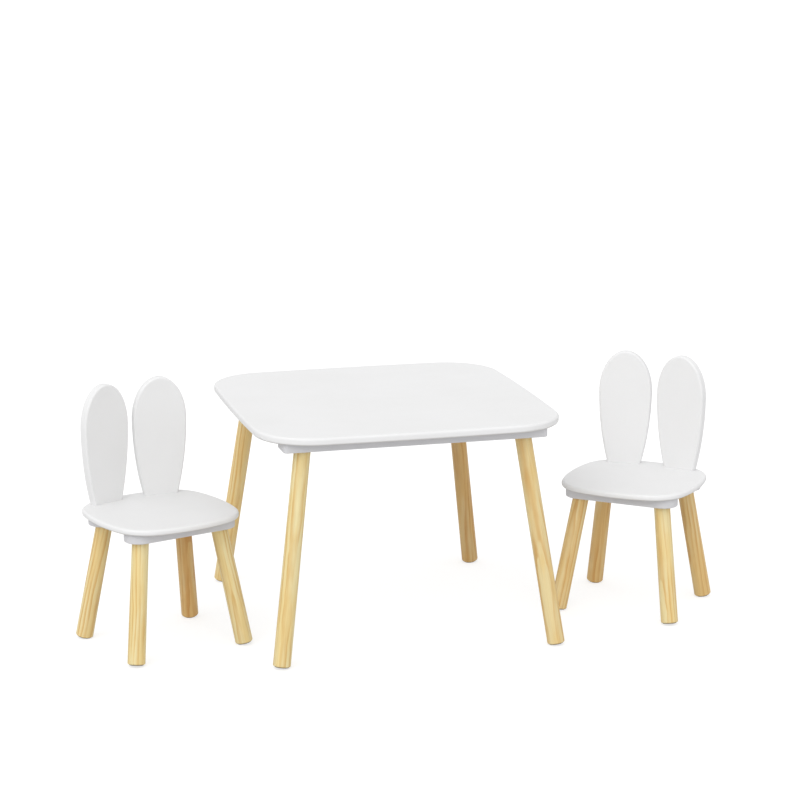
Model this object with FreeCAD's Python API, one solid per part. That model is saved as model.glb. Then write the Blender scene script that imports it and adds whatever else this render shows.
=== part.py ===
import FreeCAD, Part
import math
import os

from FreeCAD import Rotation, Vector

# A low play table for small children with two matching chairs, whose backs are pairs of rabbit ears.
#
# Every board is painted fibreboard. Under the table top and under each seat run two rails,
# one at the front and one at the rear. Four round pine legs splay outwards from the rails. Each leg
# screws into the threaded insert in its rail with a hanger bolt, so the set ships flat.
#
# Millimetres, +Z up, floor at Z = 0. +X runs along the table's width and -Y is the front, which is
# the side the chairs face. The origin is on the floor, under the middle of the set's outline.

# ---- driving dimensions ---------------------------------------------------------------------------

# Boards
TOP_SIZE = 600.0                 # table top, across the middle of opposite edges
TOP_THICK = 15.0
TOP_BOW = 8.0                    # how far the middle of an edge stands out beyond its corners
TOP_CORNER = 110.0               # corner radius
SEAT_SIZE = 271.0
SEAT_THICK = 12.0
SEAT_BOW = 30.0
SEAT_CORNER = 76.0
SEAT_BACK_SHIFT = 3.5            # the seat sits this far behind the middle of its four legs
EDGE_ROUND = 5.0                 # rounding on the rims of the table top and the seats

# Rails
RAIL_WIDTH = 60.0
RAIL_THICK = 18.0
RAIL_EDGE_ROUND = 2.0
TABLE_RAIL_LENGTH = 512.0
TABLE_RAIL_CORNER = 9.0
CHAIR_RAIL_OVERHANG = 1.0        # straight length beyond a leg before the rail's round end starts

# Legs: half the spacing of the four axes, where they meet the rails and where they meet the floor
TABLE_LEG_TOP = (214.5, 236.0)
TABLE_LEG_FOOT = (270.0, 289.0)
TABLE_LEG_HEIGHT = 405.5
CHAIR_LEG_TOP = (84.5, 71.0)
CHAIR_LEG_FOOT = (118.0, 105.0)
CHAIR_LEG_HEIGHT = 231.5
LEG_TOP_R = 15.8
LEG_FOOT_R = 16.8
LEG_FOOT_ROUND = 2.5
PAD_R = 13.5                     # felt pad under each foot
PAD_THICK = 1.5

# Ears
EAR_THICK = 18.0
EAR_HEIGHT = 233.0
EAR_WIDEST_AT = 151.0            # height of the widest place above the seat
EAR_HALF_WIDTH = 53.4
EAR_HALF_BASE = 34.0
EAR_ROUND = 4.0
EAR_ACROSS = 57.8                # from the chair's middle to the ear's middle, at its front face
EAR_BACK = 99.9                  # from the chair's middle back to the ear's front face
EAR_TURN = 12.0                  # each ear's outer edge is turned forwards by this angle, degrees

# Fasteners
BOLT_R = 4.0                     # hanger bolt, outside of its machine thread
BOLT_UP = 14.0                   # machine-threaded length, inside the insert
BOLT_DOWN = 34.0                 # wood-screw length, inside the leg
BOLT_PITCH = 1.25
BOLT_THREAD = 0.6                # depth of its machine thread
BOLT_CHAMFER = 1.2
BOLT_COLLAR = 3.0                # plain length between its two threads
WOOD_R = 3.7                     # its wood thread
WOOD_PITCH = 3.0
WOOD_THREAD = 1.0
WOOD_TIP = 6.0
INSERT_R = 5.6
INSERT_DEPTH = 14.0
INSERT_RINGS = 3
INSERT_BARB = 0.5                # how far each ring tapers in
SCREW_R = 2.0
SCREW_PITCH = 1.8
SCREW_THREAD = 0.5
SCREW_NECK = 3.0                 # plain length under the head
SCREW_TIP = 4.0
SCREW_HEAD_R = 4.0
SCREW_HEAD_HEIGHT = 2.4
RECESS = (4.4, 1.0, 1.4)         # length, width and depth of each slot of the cross in a screw's head
RAIL_SCREW_LENGTH = 27.0
EAR_SCREW_LENGTH = 45.0
EAR_SCREW_ACROSS = 20.0          # half the spacing of an ear's two screws
TABLE_SCREWS_AT = (-150.0, 0.0, 150.0)
CHAIR_SCREWS_AT = (-42.0, 42.0)
FIT_GAP = 0.05                   # all round a bolt in its insert and a screw in its hole
HOLE_SPARE = 1.0                 # how much deeper a hole is than what it takes

# Where each chair stands, from the table's middle: X, Y and its turn about Z in degrees
CHAIR_PLACES = {
    "chair_left": (-453.5, -68.8, 19.5),
    "chair_right": (501.6, -74.4, -40.0),
}

SIDES = {"front_left": (-1, -1), "front_right": (1, -1), "rear_left": (-1, 1), "rear_right": (1, 1)}
RAIL_SIDES = {"front": -1, "rear": 1}
UP = Vector(0, 0, 1)
NEAR = 0.01                      # two heights closer than this are the same


# ---- shapes that several parts share --------------------------------------------------------------

def arc_edge(start, middle, end):
    return Part.Arc(Vector(*start), Vector(*middle), Vector(*end)).toShape()


def bowed_square(half, bow, corner):
    """Closed outline of a square whose four edges bow outwards and whose corners are round."""
    side_r = (half * half + bow * bow) / (2 * bow)
    inset = side_r - half
    # A corner's circle touches both side arcs from inside, so its centre is on the diagonal.
    reach = side_r - corner
    centre = (math.sqrt(2 * reach * reach - inset * inset) - inset) / 2
    turn = math.atan2(centre, centre + inset)

    def on_side(angle):
        return Vector(side_r * math.cos(angle) - inset, side_r * math.sin(angle), 0)

    def on_corner(angle):
        return Vector(centre + corner * math.cos(angle), centre + corner * math.sin(angle), 0)

    side = Part.Arc(on_side(-turn), on_side(0), on_side(turn)).toShape()
    round_off = Part.Arc(on_side(turn), on_corner(math.pi / 4), on_corner(math.pi / 2 - turn)).toShape()
    edges = []
    for quarter in range(4):
        for edge in (side, round_off):
            edges.append(edge.rotated(Vector(0, 0, 0), UP, 90 * quarter))
    return Part.Wire(Part.__sortEdges__(edges))


def round_rims(solid, radius, levels):
    """Rounds every edge that lies flat at one of the given heights."""
    rims = []
    for edge in solid.Edges:
        box = edge.BoundBox
        if box.ZLength < NEAR and any(abs(box.ZMin - level) < NEAR for level in levels):
            rims.append(edge)
    return solid.makeFillet(radius, rims)


def board(outline, thick, radius):
    """A flat board from a closed outline, with both rims rounded, its underside at Z = 0."""
    blank = Part.Face(outline).extrude(UP * thick)
    return round_rims(blank, radius, (0, thick))


def along_axis(shape, foot, direction):
    """Stands a shape built up the Z axis on a point, along a direction."""
    turn = Rotation(UP, direction)
    stood = shape.copy()
    stood.rotate(Vector(0, 0, 0), turn.Axis, math.degrees(turn.Angle))
    stood.translate(foot)
    return stood


def turned(profile):
    """A solid of revolution about Z from (radius, height) points, starting and ending on the axis."""
    points = [Vector(radius, 0, height) for radius, height in profile]
    face = Part.Face(Part.makePolygon(points + points[:1]))
    return face.revolve(Vector(0, 0, 0), UP, 360)


def thread_profile(radius, depth, pitch, low, high):
    """Roots and crests of a thread between two heights, as (radius, height) points.

    Each crest is a fifth of the pitch wide.
    """
    count = int((high - low) / pitch)
    points = []
    for index in range(count):
        start = low + index * pitch
        points.append((radius - depth, start))
        points.append((radius, start + 0.4 * pitch))
        points.append((radius, start + 0.6 * pitch))
    points.append((radius - depth, low + count * pitch))
    return points


# ---- fasteners, each built up the Z axis ----------------------------------------------------------

def hanger_bolt():
    """Wood screw below Z = 0, machine thread above it."""
    profile = [(0, -BOLT_DOWN)]
    profile += thread_profile(WOOD_R, WOOD_THREAD, WOOD_PITCH, WOOD_TIP - BOLT_DOWN, -BOLT_COLLAR)
    profile += [(BOLT_R, -BOLT_COLLAR), (BOLT_R, 0)]
    profile += thread_profile(BOLT_R, BOLT_THREAD, BOLT_PITCH, 0, BOLT_UP - BOLT_CHAMFER)
    profile += [(BOLT_R - BOLT_CHAMFER, BOLT_UP), (0, BOLT_UP)]
    return turned(profile)


def bolt_hole():
    """The room that a hanger bolt takes."""
    low = -BOLT_DOWN - HOLE_SPARE
    high = BOLT_UP + HOLE_SPARE
    return Part.makeCylinder(BOLT_R + FIT_GAP, high - low, UP * low, UP)


def threaded_insert():
    """Sleeve with barbed rings, its mouth at Z = 0."""
    bore = BOLT_R + FIT_GAP
    step = INSERT_DEPTH / INSERT_RINGS
    profile = [(bore, 0)]
    for index in range(INSERT_RINGS):
        top = (index + 1) * step
        profile.append((INSERT_R, top - step))
        profile.append((INSERT_R, top - 2 * INSERT_BARB))
        profile.append((INSERT_R - INSERT_BARB, top))
    profile.append((bore, INSERT_DEPTH))
    return turned(profile)


def insert_hole():
    """A bore that starts below the rail and ends where the insert does."""
    below = INSERT_R
    return Part.makeCylinder(INSERT_R, INSERT_DEPTH + below, Vector(0, 0, -below), UP)


def wood_screw(length):
    """Countersunk screw with a cross recess, its head flat at Z = 0 and its tip up."""
    neck = SCREW_HEAD_HEIGHT + SCREW_NECK
    profile = [(0, 0), (SCREW_HEAD_R, 0), (SCREW_R, SCREW_HEAD_HEIGHT), (SCREW_R, neck)]
    profile += thread_profile(SCREW_R, SCREW_THREAD, SCREW_PITCH, neck, length - SCREW_TIP)
    profile += [(0, length)]
    screw = turned(profile)
    long, wide, deep = RECESS
    for size_x, size_y in ((long, wide), (wide, long)):
        slot = Part.makeBox(size_x, size_y, deep, Vector(-size_x / 2, -size_y / 2, 0))
        screw = screw.cut(slot)
    return screw


def screw_hole(length):
    """Countersink and bore for a wood screw."""
    shank = Part.makeCylinder(SCREW_R + FIT_GAP, length + HOLE_SPARE)
    sink = Part.makeCone(SCREW_HEAD_R + FIT_GAP, SCREW_R + FIT_GAP, SCREW_HEAD_HEIGHT)
    return shank.fuse(sink)


# ---- legs -----------------------------------------------------------------------------------------

class LegLine:
    """Axis of one leg, from where it meets the floor to where it meets its rail."""

    def __init__(self, top, foot, height, side):
        self.top = Vector(side[0] * top[0], side[1] * top[1], height)
        self.floor = Vector(side[0] * foot[0], side[1] * foot[1], 0)
        self.direction = (self.top - self.floor).normalize()
        # The foot is cut square to the leg, so the pad's inner edge is its lowest point.
        self.lean = math.acos(self.direction.z)
        self.pad_foot = self.floor + self.direction * (PAD_R * math.tan(self.lean))

    def place(self, shape, from_foot):
        return along_axis(shape, self.pad_foot + self.direction * from_foot, self.direction)

    def place_at_top(self, shape, rise=0.0):
        return along_axis(shape, self.top + self.direction * rise, self.direction)

    def place_in_rail(self, shape):
        """Sinks an insert until its tilted mouth is just inside the rail's underside."""
        return self.place_at_top(shape, INSERT_R * math.tan(self.lean))

    def length(self):
        return (self.top - self.pad_foot).Length


def leg(line):
    """Round leg, thicker at the foot, with its top cut level against the rail and bored for a bolt."""
    spare = 2 * LEG_TOP_R
    length = line.length() - PAD_THICK
    taper = (LEG_FOOT_R - LEG_TOP_R) / length
    shaft = Part.makeCone(LEG_FOOT_R, LEG_TOP_R - taper * spare, length + spare)
    shaft = round_rims(shaft, LEG_FOOT_ROUND, (0,))
    shaft = line.place(shaft, PAD_THICK)
    above = Part.makeBox(2 * spare, 2 * spare, 2 * spare, line.top - Vector(spare, spare, 0))
    return shaft.cut(above).cut(line.place_at_top(bolt_hole()))


def foot_pad(line):
    disc = Part.makeCylinder(PAD_R, PAD_THICK)
    return line.place(disc, 0)


# ---- rails and boards -----------------------------------------------------------------------------

def rail_blank(half_length, corner):
    """Flat bar along X with rounded ends, its underside at Z = 0."""
    half_width = RAIL_WIDTH / 2
    flat_x = half_length - corner
    flat_y = half_width - corner
    step = corner * math.sqrt(0.5)
    edges = [Part.makeLine(Vector(-flat_x, -half_width, 0), Vector(flat_x, -half_width, 0))]
    edges.append(Part.makeLine(Vector(-flat_x, half_width, 0), Vector(flat_x, half_width, 0)))
    for sign in (-1, 1):
        if flat_y > 0:
            low = Vector(sign * half_length, -flat_y, 0)
            edges.append(Part.makeLine(low, low + Vector(0, 2 * flat_y, 0)))
        for up in (-1, 1):
            start = (sign * flat_x, up * half_width, 0)
            middle = (sign * (flat_x + step), up * (flat_y + step), 0)
            end = (sign * half_length, up * flat_y, 0)
            edges.append(arc_edge(start, middle, end))
    return board(Part.Wire(Part.__sortEdges__(edges)), RAIL_THICK, RAIL_EDGE_ROUND)


def rail(half_length, corner, y, z, lines, screws_at):
    """One rail with its bores: an insert for each leg, and countersunk holes for its screws."""
    bar = rail_blank(half_length, corner)
    bar.translate(Vector(0, y, z))
    for line in lines:
        bar = bar.cut(line.place_in_rail(insert_hole()))
    for x in screws_at:
        bar = bar.cut(screw_hole(RAIL_SCREW_LENGTH).translated(Vector(x, y, z)))
    return bar


def bored_board(outline, thick, z, shift_y, holes):
    slab = board(outline, thick, EDGE_ROUND)
    slab.translate(Vector(0, shift_y, z))
    for hole in holes:
        slab = slab.cut(hole)
    return slab


def frame_parts(prefix, top, foot, height, half_length, corner, screws_at):
    """Legs, pads, rails and their fasteners, which the table and a chair are both built on."""
    lines = {side: LegLine(top, foot, height, signs) for side, signs in SIDES.items()}
    parts = {}
    for name, sign in RAIL_SIDES.items():
        own = [lines[side] for side in lines if side.startswith(name)]
        parts[f"{prefix}_rail_{name}"] = rail(half_length, corner, sign * top[1], height, own, screws_at)
    for side, line in lines.items():
        parts[f"{prefix}_leg_{side}"] = leg(line)
    screw = wood_screw(RAIL_SCREW_LENGTH)
    spots = [Vector(x, sign * top[1], height) for sign in RAIL_SIDES.values() for x in screws_at]
    every = lines.values()
    parts[f"{prefix}_hanger_bolts"] = Part.makeCompound([ln.place_at_top(hanger_bolt()) for ln in every])
    parts[f"{prefix}_leg_inserts"] = Part.makeCompound([ln.place_in_rail(threaded_insert()) for ln in every])
    parts[f"{prefix}_rail_screws"] = Part.makeCompound([screw.translated(spot) for spot in spots])
    parts[f"{prefix}_foot_pads"] = Part.makeCompound([foot_pad(line) for line in every])
    holes = [screw_hole(RAIL_SCREW_LENGTH).translated(spot) for spot in spots]
    return parts, holes


# ---- ears -----------------------------------------------------------------------------------------

def ear_outline():
    """Long egg standing on Z = 0 in the XZ plane: side arcs up to the widest place, then half an ellipse."""
    narrowing = EAR_HALF_WIDTH - EAR_HALF_BASE
    side_r = (EAR_WIDEST_AT ** 2 + narrowing ** 2) / (2 * narrowing)
    half_turn = math.asin(EAR_WIDEST_AT / side_r) / 2
    middle_x = EAR_HALF_WIDTH - side_r * (1 - math.cos(half_turn))
    middle_z = EAR_WIDEST_AT - side_r * math.sin(half_turn)
    edges = [Part.makeLine(Vector(-EAR_HALF_BASE, 0, 0), Vector(EAR_HALF_BASE, 0, 0))]
    for sign in (-1, 1):
        base = (sign * EAR_HALF_BASE, 0, 0)
        widest = (sign * EAR_HALF_WIDTH, 0, EAR_WIDEST_AT)
        edges.append(arc_edge(base, (sign * middle_x, 0, middle_z), widest))
    centre = Vector(0, 0, EAR_WIDEST_AT)
    tip = Vector(0, 0, EAR_HEIGHT)
    crown = Part.Ellipse(tip, Vector(EAR_HALF_WIDTH, 0, EAR_WIDEST_AT), centre)
    edges.append(Part.Arc(crown, -math.pi / 2, math.pi / 2).toShape())
    return Part.Wire(Part.__sortEdges__(edges))


def ear_blank():
    """One ear with its front face at Y = 0 and its base at Z = 0, rounded all round but for its base."""
    blank = Part.Face(ear_outline()).extrude(Vector(0, EAR_THICK, 0))
    rims = []
    for edge in blank.Edges:
        box = edge.BoundBox
        if box.YLength < NEAR and box.ZLength > NEAR:
            rims.append(edge)
    return blank.makeFillet(EAR_ROUND, rims)


def to_ear(shape, sign, seat_top):
    """Moves a shape from an ear's own frame to its place on the chair; sign is -1 left, 1 right."""
    moved = shape.copy()
    moved.rotate(Vector(0, 0, 0), UP, -sign * EAR_TURN)
    moved.translate(Vector(sign * EAR_ACROSS, EAR_BACK, seat_top))
    return moved


# ---- the table and the chairs ---------------------------------------------------------------------

def build_table():
    parts, holes = frame_parts("table", TABLE_LEG_TOP, TABLE_LEG_FOOT, TABLE_LEG_HEIGHT,
                               TABLE_RAIL_LENGTH / 2, TABLE_RAIL_CORNER, TABLE_SCREWS_AT)
    outline = bowed_square(TOP_SIZE / 2, TOP_BOW, TOP_CORNER)
    parts["table_top"] = bored_board(outline, TOP_THICK, TABLE_LEG_HEIGHT + RAIL_THICK, 0, holes)
    return parts


def build_chair(prefix):
    """One chair about its own middle, facing -Y."""
    half_rail = CHAIR_LEG_TOP[0] + CHAIR_RAIL_OVERHANG + RAIL_WIDTH / 2
    parts, holes = frame_parts(prefix, CHAIR_LEG_TOP, CHAIR_LEG_FOOT, CHAIR_LEG_HEIGHT,
                               half_rail, RAIL_WIDTH / 2, CHAIR_SCREWS_AT)
    seat_under = CHAIR_LEG_HEIGHT + RAIL_THICK
    seat_top = seat_under + SEAT_THICK
    screws = []
    for name, sign in (("left", -1), ("right", 1)):
        ear = to_ear(ear_blank(), sign, seat_top)
        for x in (-EAR_SCREW_ACROSS, EAR_SCREW_ACROSS):
            spot = Vector(x, EAR_THICK / 2, 0)
            hole = to_ear(screw_hole(EAR_SCREW_LENGTH).translated(spot), sign, seat_under)
            screws.append(to_ear(wood_screw(EAR_SCREW_LENGTH).translated(spot), sign, seat_under))
            holes.append(hole)
            ear = ear.cut(hole)
        parts[f"{prefix}_ear_{name}"] = ear
    parts[f"{prefix}_ear_screws"] = Part.makeCompound(screws)
    outline = bowed_square(SEAT_SIZE / 2, SEAT_BOW, SEAT_CORNER)
    parts[f"{prefix}_seat"] = bored_board(outline, SEAT_THICK, seat_under, SEAT_BACK_SHIFT, holes)
    return parts


def build_set():
    """The table with its chairs, moved so that the origin is under the middle of the whole outline."""
    parts = build_table()
    for prefix, (x, y, turn) in CHAIR_PLACES.items():
        for name, shape in build_chair(prefix).items():
            shape.rotate(Vector(0, 0, 0), UP, turn)
            shape.translate(Vector(x, y, 0))
            parts[name] = shape
    outline = FreeCAD.BoundBox()
    for shape in parts.values():
        outline.add(shape.optimalBoundingBox())
    middle = Vector(-outline.Center.x, -outline.Center.y, 0)
    for shape in parts.values():
        shape.translate(middle)
    return parts


os.makedirs("parts", exist_ok=True)
for node, shape in build_set().items():
    shape.exportStep(f"parts/{node}.step")
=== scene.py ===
import math
import random

import bpy
from mathutils import Euler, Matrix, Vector


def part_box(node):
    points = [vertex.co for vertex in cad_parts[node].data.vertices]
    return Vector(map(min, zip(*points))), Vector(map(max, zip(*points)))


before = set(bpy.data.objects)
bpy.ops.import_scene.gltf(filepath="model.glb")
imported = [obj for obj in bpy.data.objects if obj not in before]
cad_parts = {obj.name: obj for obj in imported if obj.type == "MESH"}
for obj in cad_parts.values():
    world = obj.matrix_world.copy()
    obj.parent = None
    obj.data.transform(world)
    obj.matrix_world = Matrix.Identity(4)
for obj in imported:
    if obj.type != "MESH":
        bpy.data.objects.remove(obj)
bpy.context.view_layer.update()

# A low white play table on splayed pine legs, with two rabbit-eared chairs. The frame holds every
# piece's shape. This script gives each one its finish, then sets the floor, the light and the camera.

MM = 0.001

# ---- view and light -------------------------------------------------------------------------------

VIEW_TURN = 15.1                 # degrees: the camera stands this far round to the left of the front
VIEW_DROP = 12.9                 # degrees: and looks down by this much
VIEW_DISTANCE = 4.846
VIEW_TARGET = Vector((0.007, 0.0, 0.4315))
LENS = 110.8
SEEN_UP_TO = 200.0

SKY_STRENGTH = 0.85
LAMPS = {                        # turn to the left of the front and height, in degrees, and strength
    "key": (52.0, 45.0, 0.82),
    "front_fill": (0.0, 30.0, 0.44),
}
LAMP_SOFTNESS = 50.0
FLOOR_GLOW = 0.66                # what the floor gives the camera, over what it reflects
FLOOR_BOUNCE = 0.24              # what it gives the set
FLOOR_HALF = 40.0                # half the floor's width, far beyond any view

# ---- colours, linear -------------------------------------------------------------------------------

BOARD_WHITE = (0.805, 0.805, 0.808)
BOARD_GREY = (0.790, 0.790, 0.790)
BOARD_STIPPLE = (0.775, 0.775, 0.775)
# the rails' colours are darker than the boards': partly a greyer, cooler paint, partly painted shade under
# the board above
RAIL_SHADED_WHITE = (0.655, 0.653, 0.672)
RAIL_SHADED_COOL = (0.640, 0.638, 0.660)
RAIL_GRAIN = (0.600, 0.596, 0.612)
# painted shade for the boards' faces that look down
UNDERSIDE_SHADE = (0.62, 0.61, 0.60)
RUBBED = (0.70, 0.69, 0.67)

PINE_PALE = (0.812, 0.712, 0.392)
PINE_STRAW = (0.800, 0.640, 0.292)
PINE_LATE = (0.650, 0.410, 0.130)
# painted shade: the dark band at the bottom of a foot
PINE_FOOT_SHADE = (0.200, 0.130, 0.060)

ZINC = (0.66, 0.66, 0.67)
ZINC_STAIN = (0.58, 0.56, 0.50)
FELT_DARK = (0.20, 0.165, 0.12)
FELT_PALE = (0.36, 0.31, 0.24)
FELT_CLUMP = (0.16, 0.13, 0.10)
PAPER = (0.44, 0.44, 0.44)
PAPER_CLOUD = (0.46, 0.46, 0.46)

# ---- depths and widths of the finishes' details, millimetres ---------------------------------------

STIPPLE_DEPTH = 0.10
BOARD_WEAR = 2.5                 # width of the rubbed strip along an edge
RAIL_GRAIN_DEPTH = 0.12
RAIL_WEAR = 2.0
RING_WIDTH = (6.0, 8.5)          # from the finest leg to the coarsest
PITH_AWAY = (35, 60)             # from a leg's axis to the middle of its rings
PITH_ASIDE = (-10, 10)
RING_DRIFT = 14
RING_RIPPLE = 2.5
PINE_RELIEF = 0.05
FOOT_SHADE_HEIGHT = 3.5               # of the painted contact shadow darkening the bottom of a foot
SPANGLE_DEPTH = 0.02
FELT_NAP = 0.25

RING_LEAN = (0.010, 0.028)       # slope of the rings against a leg's axis

# ---- how the pieces are named ----------------------------------------------------------------------

SIDES = ("front_left", "front_right", "rear_left", "rear_right")
UNITS = ("table", "chair_left", "chair_right")
LEG_TONE_AND_SHADE = {                     # how much darker, and how orange, each leg is drawn, up to 1: partly the pine's own tone, partly painted shade on the rear legs
    "table_leg_front_left": (0.00, 0.05), "table_leg_front_right": (0.05, 0.25),
    "table_leg_rear_left": (-0.07, 0.24), "table_leg_rear_right": (0.17, 0.64),
    "chair_left_leg_front_left": (0.00, 0.05), "chair_left_leg_front_right": (0.00, 0.10),
    "chair_left_leg_rear_left": (0.00, 0.20), "chair_left_leg_rear_right": (0.10, 0.66),
    "chair_right_leg_front_left": (0.00, 0.36), "chair_right_leg_front_right": (0.00, 0.12),
    "chair_right_leg_rear_left": (0.04, 0.56), "chair_right_leg_rear_right": (0.07, 0.43),
}
ORANGE = (1.00, 0.70, 0.48)      # what the most orange leg keeps of the palest one's colour
END_SHARE = 0.12                 # part of a leg's height that counts as its end when its axis is found


# ---- shader helpers ---------------------------------------------------------------------------------

class Shader:
    """One material, with short ways to add and join its nodes."""

    def __init__(self, name):
        self.material = bpy.data.materials.new(name)
        self.material.use_nodes = True
        self.tree = self.material.node_tree
        self.tree.nodes.clear()
        self.place = self.add("TexCoord").outputs["Object"]

    def add(self, kind, inputs=None, **settings):
        node = self.tree.nodes.new("ShaderNode" + kind)
        for key, value in settings.items():
            setattr(node, key, value)
        for key, value in (inputs or {}).items():
            self.put(node.inputs[key], value)
        return node

    def put(self, socket, value):
        if isinstance(value, bpy.types.NodeSocket):
            self.tree.links.new(value, socket)
        elif socket.type == "RGBA" and len(value) == 3:
            socket.default_value = (*value, 1.0)
        else:
            socket.default_value = value

    def math(self, operation, first, second=0.0, clamp=False):
        node = self.add("Math", {0: first, 1: second}, operation=operation, use_clamp=clamp)
        return node.outputs[0]

    def map(self, vector, move=(0, 0, 0), turn=(0, 0, 0), scale=(1, 1, 1)):
        inputs = {"Vector": vector, "Location": move, "Rotation": turn, "Scale": scale}
        return self.add("Mapping", inputs).outputs[0]

    def noise(self, vector, scale, detail=2.0, roughness=0.5, distortion=0.0):
        inputs = {"Vector": vector, "Scale": scale, "Detail": detail}
        inputs.update({"Roughness": roughness, "Distortion": distortion})
        return self.add("TexNoise", inputs).outputs["Fac"]

    def ramp(self, factor, low, high, to_low=0.0, to_high=1.0):
        """Runs smoothly from to_low to to_high as factor goes from low to high."""
        inputs = {"Value": factor, "From Min": low, "From Max": high, "To Min": to_low, "To Max": to_high}
        return self.add("MapRange", inputs, interpolation_type="SMOOTHSTEP").outputs[0]

    def mix(self, factor, first, second, blend="MIX"):
        node = self.add("Mix", data_type="RGBA", blend_type=blend)
        self.put(node.inputs[0], factor)
        self.put(node.inputs[6], first)
        self.put(node.inputs[7], second)
        return node.outputs[2]

    def bump(self, height, distance):
        return self.add("Bump", {"Height": height, "Distance": distance, "Strength": 1.0}).outputs[0]

    def edges(self, width):
        """1 along sharp and rounded edges within about this width, 0 on flat faces."""
        bevel = self.add("Bevel", {"Radius": width}, samples=4).outputs[0]
        normal = self.add("NewGeometry").outputs["Normal"]
        same = self.add("VectorMath", {0: bevel, 1: normal}, operation="DOT_PRODUCT").outputs["Value"]
        return self.ramp(same, 0.995, 0.90)

    def finish(self, **sockets):
        surface = self.add("BsdfPrincipled")
        for key, value in sockets.items():
            self.put(surface.inputs[key.replace("_", " ")], value)
        self.add("OutputMaterial", {"Surface": surface.outputs[0]})
        return self.material


# ---- finishes ---------------------------------------------------------------------------------------

def painted_board(name, turn):
    """Satin white paint on fibreboard.

    Roller stipple on the faces, fibres showing on the rims, and a painted shade, darker grey, on what looks
    down.
    """
    s = Shader(name)
    own = s.map(s.place, turn=(0, 0, -turn))
    facing = s.add("SeparateXYZ", {0: s.add("NewGeometry").outputs["Normal"]}).outputs[2]
    rim = s.ramp(s.math("ABSOLUTE", facing), 0.90, 0.55)
    cloud = s.noise(own, 5.0, 3.0)
    rubbing = s.ramp(s.noise(own, 55.0, 4.0), 0.52, 0.72)
    wear = s.math("MULTIPLY", s.edges(BOARD_WEAR * MM), rubbing, clamp=True)
    roller = s.noise(own, 520.0, 3.0, 0.55)
    peel = s.noise(own, 110.0, 2.0)
    fibres = s.noise(s.map(own, scale=(1, 1, 5)), 700.0, 4.0, 0.7)

    colour = s.mix(s.ramp(cloud, 0.35, 0.70), BOARD_WHITE, BOARD_GREY)
    colour = s.mix(s.ramp(roller, 0.55, 0.75, 0.0, 0.35), colour, BOARD_STIPPLE)
    colour = s.mix(s.math("MULTIPLY", wear, 0.35), colour, RUBBED)
    # painted shade: faces that look down are drawn darker grey
    colour = s.mix(s.ramp(facing, -0.25, -0.75), colour, UNDERSIDE_SHADE)
    height = s.math("ADD", roller, s.math("MULTIPLY", peel, 1.5))
    height = s.math("ADD", height, s.math("MULTIPLY", fibres, s.math("MULTIPLY", rim, 1.2)))
    rough = s.ramp(s.noise(own, 18.0, 4.0), 0.3, 0.7, 0.40, 0.50)
    rough = s.math("ADD", rough, s.math("MULTIPLY", rim, 0.05))
    normal = s.bump(height, STIPPLE_DEPTH * MM)
    return s.finish(Base_Color=colour, Roughness=rough, Normal=normal, Specular_IOR_Level=0.4)


def painted_rail(name, turn):
    """White paint on a solid wood bar, with its long grain showing faintly through; drawn darker grey than
    the boards, partly a greyer paint and partly painted shade from the board above.
    """
    s = Shader(name)
    own = s.map(s.place, turn=(0, 0, -turn))
    grain = s.noise(s.map(own, scale=(9, 260, 260)), 1.0, 4.0, 0.6)
    cloud = s.noise(s.map(own, scale=(6, 25, 25)), 1.0, 3.0)
    rubbing = s.ramp(s.noise(own, 60.0, 4.0), 0.50, 0.70)
    wear = s.math("MULTIPLY", s.edges(RAIL_WEAR * MM), rubbing, clamp=True)
    # partly painted shade: the rail's paint is drawn darker grey than the boards'
    colour = s.mix(s.ramp(cloud, 0.35, 0.70), RAIL_SHADED_WHITE, RAIL_SHADED_COOL)
    colour = s.mix(s.ramp(grain, 0.50, 0.75, 0.0, 0.5), colour, RAIL_GRAIN)
    colour = s.mix(s.math("MULTIPLY", wear, 0.4), colour, RUBBED)
    rough = s.ramp(grain, 0.3, 0.7, 0.42, 0.54)
    normal = s.bump(grain, RAIL_GRAIN_DEPTH * MM)
    return s.finish(Base_Color=colour, Roughness=rough, Normal=normal, Specular_IOR_Level=0.4)


def leg_axis(node):
    """Foot centre and direction of a leg, from its highest and lowest ends."""
    corners = [vertex.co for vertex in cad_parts[node].data.vertices]
    low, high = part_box(node)
    span = END_SHARE * (high[2] - low[2])
    ends = []
    for test in (lambda z: z < low[2] + span, lambda z: z > high[2] - span):
        ring = [co for co in corners if test(co.z)]
        middle = [(min(co[axis] for co in ring) + max(co[axis] for co in ring)) / 2 for axis in range(3)]
        ends.append(Vector(middle))
    foot, top = ends
    return foot, (top - foot).normalized()


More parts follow.
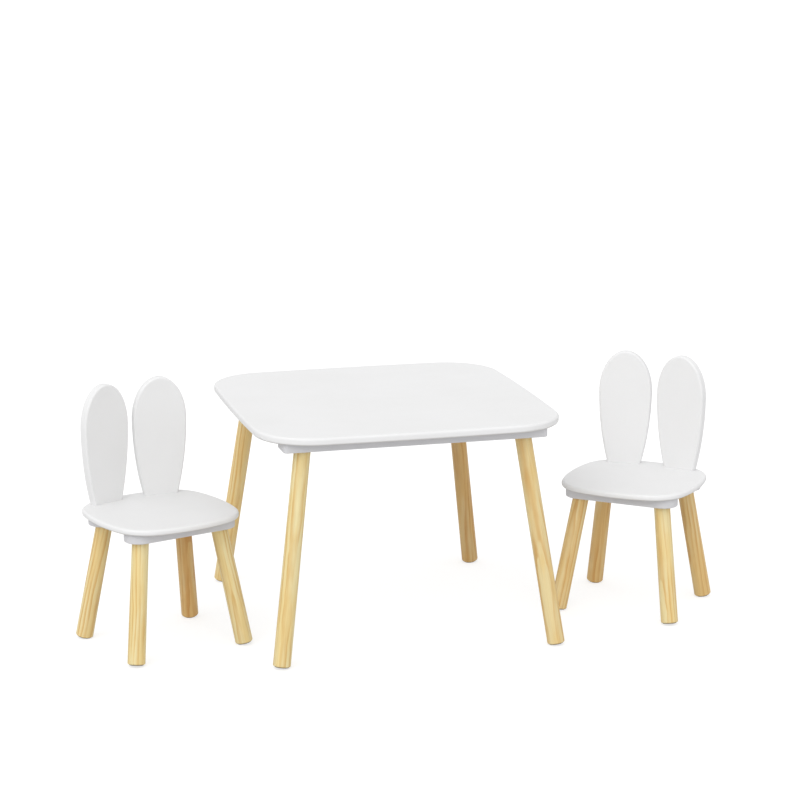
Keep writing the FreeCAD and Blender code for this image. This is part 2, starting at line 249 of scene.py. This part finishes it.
def pine(name, node, wood, seed):
    """Turned pine under matt lacquer.

    The growth rings stand about a pith well outside the leg and lean a little to it. So they show as
    long wandering bands, each darkening slowly and ending sharply.
    """
    rng = random.Random(seed)
    foot, direction = leg_axis(node)
    to_leg = direction.to_track_quat("Z", "Y").inverted()
    spin = Euler((0, 0, rng.uniform(0, 2 * math.pi))).to_quaternion()
    turn = spin @ to_leg
    ring_width = rng.uniform(*RING_WIDTH) * MM
    ring_lean = rng.choice((-1, 1)) * rng.uniform(*RING_LEAN)
    pith = Vector((rng.uniform(*PITH_AWAY) * MM, rng.uniform(*PITH_ASIDE) * MM, 0))
    low_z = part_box(node)[0][2]

    s = Shader(name)
    own = s.map(s.place, move=-(turn @ foot), turn=turn.to_euler())
    along = s.add("SeparateXYZ", {0: own}).outputs[2]
    drift = s.noise(s.map(own, move=(seed, 0, 0), scale=(22, 22, 6)), 1.0, 2.0, 0.5)
    ripple = s.noise(s.map(own, move=(0, 0, seed), scale=(40, 40, 24)), 1.0, 2.0, 0.5)
    from_pith = s.add("VectorMath", {0: own, 1: pith}, operation="ADD").outputs[0]
    from_pith = s.map(from_pith, scale=(1, 1, 0))
    radius = s.add("VectorMath", {0: from_pith}, operation="LENGTH").outputs["Value"]
    radius = s.math("ADD", radius, s.math("MULTIPLY", along, ring_lean))
    radius = s.math("ADD", radius, s.math("MULTIPLY", drift, RING_DRIFT * MM))
    radius = s.math("ADD", radius, s.math("MULTIPLY", ripple, RING_RIPPLE * MM))
    ring = s.math("FRACT", s.math("DIVIDE", radius, ring_width))
    late = s.math("MULTIPLY", s.ramp(ring, 0.30, 0.90), s.ramp(ring, 1.0, 0.93))
    fade = s.noise(s.map(own, move=(0, seed, 0), scale=(50, 50, 7)), 1.0, 2.0)
    late = s.math("MULTIPLY", late, s.ramp(fade, 0.35, 0.62, 0.15, 1.0))
    patch = s.noise(s.map(own, move=(seed, seed, 0), scale=(55, 55, 9)), 1.0, 3.0)
    streak = s.noise(s.map(own, move=(seed, 0, seed), scale=(230, 230, 4)), 1.0, 3.0, 0.6)
    fibre = s.noise(s.map(own, scale=(1500, 1500, 22)), 1.0, 3.0, 0.6)

    colour = s.mix(s.ramp(patch, 0.38, 0.62), PINE_PALE, PINE_STRAW)
    colour = s.mix(s.math("MULTIPLY", late, 0.88), colour, PINE_LATE)
    colour = s.mix(s.ramp(streak, 0.48, 0.72, 0.0, 0.35), colour, PINE_LATE)
    shade = s.ramp(fibre, 0.25, 0.75, 0.93, 1.05)
    grey = s.add("CombineColor", {0: shade, 1: shade, 2: shade}).outputs[0]
    colour = s.mix(1.0, colour, grey, blend="MULTIPLY")
    # partly the pine's own tone, partly painted shade: most rear legs are drawn darker and browner
    dark_and_shade, warm_and_shade = wood
    tone_and_shade_tint = [(1.0 - dark_and_shade) * (1.0 - warm_and_shade * (1.0 - part)) for part in ORANGE]
    colour = s.mix(1.0, colour, tone_and_shade_tint, blend="MULTIPLY")
    height = s.add("SeparateXYZ", {0: s.place}).outputs[2]
    height = s.math("ADD", height, s.math("MULTIPLY", streak, 2 * MM))
    # painted shade: a contact shadow darkens each foot's lowest few millimetres
    foot_shade = s.ramp(height, low_z + FOOT_SHADE_HEIGHT * MM, low_z, 0.0, 0.5)
    colour = s.mix(foot_shade, colour, PINE_FOOT_SHADE)
    rough = s.math("SUBTRACT", s.ramp(streak, 0.3, 0.7, 0.50, 0.58), s.math("MULTIPLY", late, 0.08))
    relief = s.math("ADD", s.math("MULTIPLY", fibre, 0.5), late)
    normal = s.bump(relief, PINE_RELIEF * MM)
    return s.finish(Base_Color=colour, Roughness=rough, Normal=normal, Coat_Weight=0.10, Coat_Roughness=0.40)


def zinc_steel():
    """Bright zinc plate with a faint spangle and faint stains."""
    s = Shader("zinc_steel")
    spangle = s.noise(s.place, 900.0, 2.0)
    stain = s.noise(s.place, 160.0, 3.0)
    colour = s.mix(s.ramp(stain, 0.35, 0.65), ZINC, ZINC_STAIN)
    rough = s.ramp(spangle, 0.3, 0.7, 0.26, 0.42)
    normal = s.bump(spangle, SPANGLE_DEPTH * MM)
    return s.finish(Base_Color=colour, Metallic=1.0, Roughness=rough, Normal=normal)


def felt():
    """Pressed felt: short fibres lying every way, with a little sheen."""
    s = Shader("felt")
    fibres = s.noise(s.map(s.place, scale=(1, 1, 2)), 1400.0, 5.0, 0.75, 2.0)
    clumps = s.noise(s.place, 260.0, 3.0)
    colour = s.mix(s.ramp(fibres, 0.3, 0.7), FELT_DARK, FELT_PALE)
    colour = s.mix(s.ramp(clumps, 0.4, 0.7, 0.0, 0.4), colour, FELT_CLUMP)
    normal = s.bump(fibres, FELT_NAP * MM)
    return s.finish(Base_Color=colour, Roughness=0.95, Normal=normal, Sheen_Weight=0.3)


# ---- dressing the frame -----------------------------------------------------------------------------

def paint(node, material):
    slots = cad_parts[node].data.materials
    slots.clear()
    slots.append(material)


def chair_turn(unit):
    """How far a chair is turned about Z, from the line between its front rail and its rear rail."""
    if unit == "table":
        return 0.0
    middles = []
    for side in ("front", "rear"):
        low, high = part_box(f"{unit}_rail_{side}")
        middles.append((Vector(low) + Vector(high)) / 2)
    line = middles[1] - middles[0]
    return -math.atan2(line.x, line.y)


def dress_frame():
    steel = zinc_steel()
    pads = felt()
    for number, unit in enumerate(UNITS):
        turn = chair_turn(unit)
        board = painted_board(f"{unit}_board_paint", turn)
        rail = painted_rail(f"{unit}_rail_paint", turn)
        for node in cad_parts:
            if not node.startswith(unit + "_"):
                continue
            if node.endswith(("_bolts", "_inserts", "_screws")):
                paint(node, steel)
            elif node.endswith("_pads"):
                paint(node, pads)
            elif "_rail_" in node:
                paint(node, rail)
            elif "_leg_" not in node:
                paint(node, board)
        for index, side in enumerate(SIDES):
            leg = f"{unit}_leg_{side}"
            paint(leg, pine(f"{leg}_pine", leg, LEG_TONE_AND_SHADE[leg], 10 * number + index + 1))


# ---- floor, light and camera ------------------------------------------------------------------------

def floor_material():
    """Pale seamless paper, bright enough that the set's shadow on it stays faint."""
    s = Shader("floor_paper")
    cloud = s.noise(s.place, 1.5, 2.0)
    colour = s.mix(cloud, PAPER, PAPER_CLOUD)
    rough = s.ramp(cloud, 0.3, 0.7, 0.85, 0.95)
    seen = s.add("LightPath").outputs["Is Camera Ray"]
    glow = s.ramp(seen, 0.0, 1.0, FLOOR_BOUNCE, FLOOR_GLOW)
    return s.finish(Base_Color=colour, Roughness=rough, Specular_IOR_Level=0.0,
                    Emission_Color=(1.0, 1.0, 1.0), Emission_Strength=glow)


def build_stage():
    far = FLOOR_HALF
    mesh = bpy.data.meshes.new("floor")
    corners = [(-far, -far, 0), (far, -far, 0), (far, far, 0), (-far, far, 0)]
    mesh.from_pydata(corners, [], [(0, 1, 2, 3)])
    mesh.materials.append(floor_material())
    floor = bpy.data.objects.new("floor", mesh)
    bpy.context.scene.collection.objects.link(floor)


def direction_from(turn, height):
    """Unit vector from the set to something at a turn left of the front and a height, in degrees."""
    turn = math.radians(turn)
    height = math.radians(height)
    return Vector((-math.sin(turn) * math.cos(height), -math.cos(turn) * math.cos(height), math.sin(height)))


def aim(thing, direction):
    """Turns a camera or a light, whose own front is -Z, to look back along a direction."""
    thing.rotation_euler = direction.to_track_quat("Z", "Y").to_euler()


def build_sky():
    """Even light from all round. The camera sees it white, so the floor meets it with no line."""
    world = bpy.data.worlds.new("studio")
    world.use_nodes = True
    tree = world.node_tree
    sky = tree.nodes["Background"]
    sky.inputs["Color"].default_value = (1.0, 1.0, 1.0, 1.0)
    level = tree.nodes.new("ShaderNodeMapRange")
    level.inputs["To Min"].default_value = SKY_STRENGTH
    level.inputs["To Max"].default_value = 1.0
    tree.links.new(tree.nodes.new("ShaderNodeLightPath").outputs["Is Camera Ray"], level.inputs["Value"])
    tree.links.new(level.outputs[0], sky.inputs["Strength"])
    bpy.context.scene.world = world


def build_lamps():
    for name, (turn, height, strength) in LAMPS.items():
        light = bpy.data.lights.new(name, "SUN")
        light.energy = strength
        light.angle = math.radians(LAMP_SOFTNESS)
        lamp = bpy.data.objects.new(name, light)
        aim(lamp, direction_from(turn, height))
        bpy.context.scene.collection.objects.link(lamp)


def build_camera():
    lens = bpy.data.cameras.new("camera")
    lens.lens = LENS
    lens.clip_end = SEEN_UP_TO
    camera = bpy.data.objects.new("camera", lens)
    towards = direction_from(VIEW_TURN, VIEW_DROP)
    camera.location = VIEW_TARGET + towards * VIEW_DISTANCE
    aim(camera, towards)
    bpy.context.scene.collection.objects.link(camera)
    bpy.context.scene.camera = camera
    bpy.context.scene.view_settings.view_transform = "Standard"


dress_frame()
build_stage()
build_sky()
build_lamps()
build_camera()
